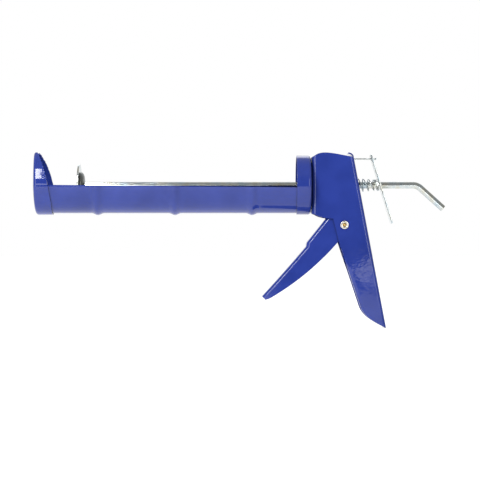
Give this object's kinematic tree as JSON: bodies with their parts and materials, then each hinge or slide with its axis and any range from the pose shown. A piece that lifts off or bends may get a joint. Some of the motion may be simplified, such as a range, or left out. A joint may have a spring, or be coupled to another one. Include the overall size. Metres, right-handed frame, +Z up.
{
  "type": "caulking gun",
  "caption": "Half-barrel caulking gun: pressed steel cradle and front cap, six-sided plunger rod with hooked end, sheet handle, squeeze trigger and thumb release plate.",
  "frame": {"origin": "middle of the peened rod end on the plunger's front face, on the barrel's middle line, with the plunger as it is stored", "axes": "+X back along the barrel to the hooked end, +Z up away from the handle, +Y to the tool's right seen from its front"},
  "size_m": [0.3787, 0.0554, 0.1608],
  "materials": {
    "blue_enamel": "gloss enamel on pressed steel",
    "zinc_steel": "bright zinc plate",
    "zinc_rod": "bright zinc plate on drawn bar",
    "spring_steel": "zinc plated spring wire",
    "nickel_rivet": "nickel plate"
  },
  "bodies": {
    "frame": {"front_cap": "blue_enamel", "cradle": "blue_enamel", "rear_collar": "blue_enamel", "barrel_bush": "zinc_steel", "head_plate": "zinc_steel", "handle": "blue_enamel", "pivot_rivet": "nickel_rivet", "release_strip": "zinc_steel"},
    "trigger_lever": {"trigger": "blue_enamel"},
    "drive": {"drive_plate_front": "zinc_steel", "drive_plate_rear": "zinc_steel", "spring_washer": "zinc_steel", "drive_spring": "spring_steel"},
    "release": {"release_plate": "zinc_steel", "release_spring": "spring_steel"},
    "plunger": {"plunger_rod": "zinc_rod", "piston_disc": "zinc_steel", "piston_cup": "zinc_steel"}
  },
  "joints": [
    {"name": "trigger_pivot", "type": "hinge", "parent": "frame", "child": "trigger_lever", "pos_m": [0.2454, 0, -0.0367], "axis": [0, -1, 0], "range_deg": [0, 30], "stiffness_Nm_per_rad": 0.35, "springref_deg": -20.05},
    {"name": "drive_slide", "type": "slide", "parent": "frame", "child": "drive", "axis": [-1, 0, 0], "range_m": [0, 0.0079], "deforming": ["drive_spring"]},
    {"name": "release_hinge", "type": "hinge", "parent": "frame", "child": "release", "pos_m": [0.2713, 0, 0.024], "axis": [0, 1, 0], "range_deg": [0, 8], "stiffness_Nm_per_rad": 0.08, "springref_deg": -11.46, "deforming": ["release_spring"]},
    {"name": "rod_slide", "type": "slide", "parent": "frame", "child": "plunger", "axis": [1, 0, 0], "range_m": [-0.026, 0.2]}
  ],
  "couplings": [
    {"joint": "drive_slide", "follows": "trigger_pivot", "m_per_rad": 0.01483}
  ]
}
